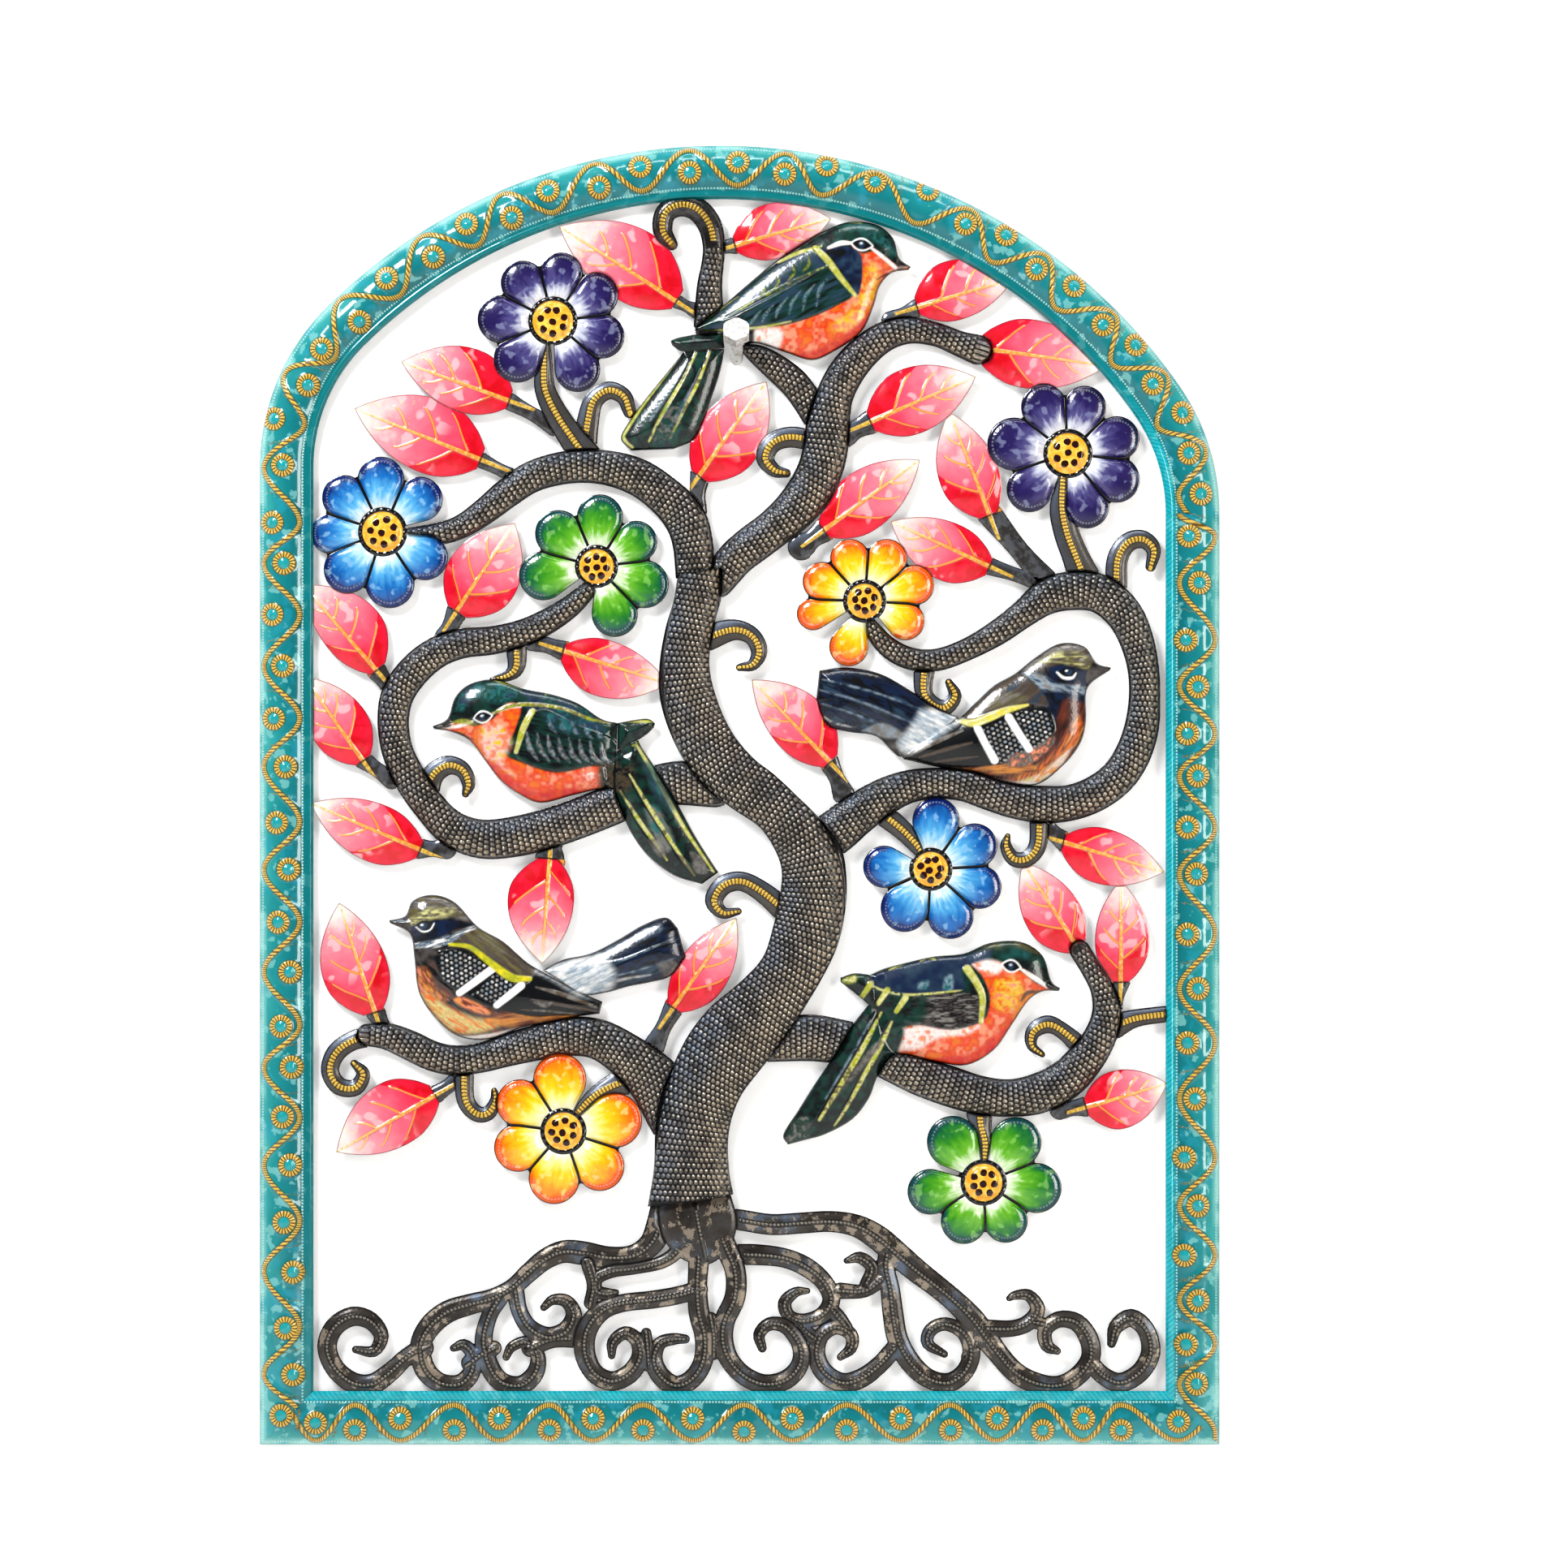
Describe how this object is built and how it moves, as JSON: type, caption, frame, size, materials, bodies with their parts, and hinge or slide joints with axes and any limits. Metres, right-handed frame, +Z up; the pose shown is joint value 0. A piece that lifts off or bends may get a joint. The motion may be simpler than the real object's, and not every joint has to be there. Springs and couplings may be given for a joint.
{
  "type": "tree of life wall panel",
  "caption": "Arched openwork wall panel of painted, hammered sheet steel: a tree with birds, flowers, leaves and scrolled roots in a raised border, hung on a slanting screw.",
  "frame": {"origin": "where the axis of the hanging screw enters the wall", "axes": "+X to the right and +Z up as the panel hangs, +Y into the wall; the front faces -Y and the wall is the plane y = 0"},
  "size_m": [0.638, 0.0685, 0.8635],
  "materials": {
    "screw_white": "white gloss paint over a threaded steel screw",
    "border_teal": "teal gloss enamel with a gold beaded wave and rings",
    "bark_steel": "gunmetal, hammered in rows of scales, clear lacquer",
    "tendril_steel": "gunmetal with a gold beaded ridge, clear lacquer",
    "root_steel": "mottled dark steel with rows of punched beads, clear lacquer",
    "leaf_pink": "crimson to pink to white gloss enamel with orange veins",
    "petal_purple": "white to indigo gloss enamel",
    "petal_blue": "white to blue gloss enamel",
    "petal_green": "white to green gloss enamel",
    "petal_yellow": "yellow to orange gloss enamel",
    "bird_teal": "hand-painted enamel, dark teal above and orange below",
    "bird_brown": "hand-painted enamel, olive, black, brown and white"
  },
  "bodies": {
    "screw": {"hanging_screw": "screw_white"},
    "panel": {"arch_border": "border_teal", "left_border": "border_teal", "right_border": "border_teal", "bottom_border": "border_teal", "trunk": "bark_steel", "limb_upper_left": "bark_steel", "limb_upper_right": "bark_steel", "limb_mid_left": "bark_steel", "limb_mid_right": "bark_steel", "limb_lower_left": "bark_steel", "limb_lower_right": "bark_steel", "limb_top": "bark_steel", "tendrils_upper": "tendril_steel", "tendrils_middle": "tendril_steel", "tendrils_lower": "tendril_steel", "flower_stems": "tendril_steel", "roots_left": "root_steel", "roots_middle": "root_steel", "roots_right": "root_steel", "leaf_01": "leaf_pink", "leaf_02": "leaf_pink", "leaf_03": "leaf_pink", "leaf_04": "leaf_pink", "leaf_05": "leaf_pink", "leaf_06": "leaf_pink", "leaf_07": "leaf_pink", "leaf_08": "leaf_pink", "leaf_09": "leaf_pink", "leaf_10": "leaf_pink", "leaf_11": "leaf_pink", "leaf_12": "leaf_pink", "leaf_13": "leaf_pink", "leaf_14": "leaf_pink", "leaf_15": "leaf_pink", "leaf_16": "leaf_pink", "leaf_17": "leaf_pink", "leaf_18": "leaf_pink", "leaf_19": "leaf_pink", "leaf_20": "leaf_pink", "leaf_21": "leaf_pink", "leaf_22": "leaf_pink", "leaf_23": "leaf_pink", "leaf_24": "leaf_pink", "leaf_25": "leaf_pink", "flower_purple_left": "petal_purple", "flower_purple_right": "petal_purple", "flower_blue_left": "petal_blue", "flower_blue_right": "petal_blue", "flower_green_left": "petal_green", "flower_green_right": "petal_green", "flower_yellow_middle": "petal_yellow", "flower_yellow_low": "petal_yellow", "bird_top": "bird_teal", "bird_middle_left": "bird_teal", "bird_lower_right": "bird_teal", "bird_lower_left": "bird_brown", "bird_middle_right": "bird_brown"}
  },
  "joints": [
    {"name": "hang_swing", "type": "hinge", "parent": "screw", "child": "panel", "pos_m": [0, -0.0056, 0.0033], "axis": [0, 1, 0], "range_deg": [-5, 5]}
  ]
}
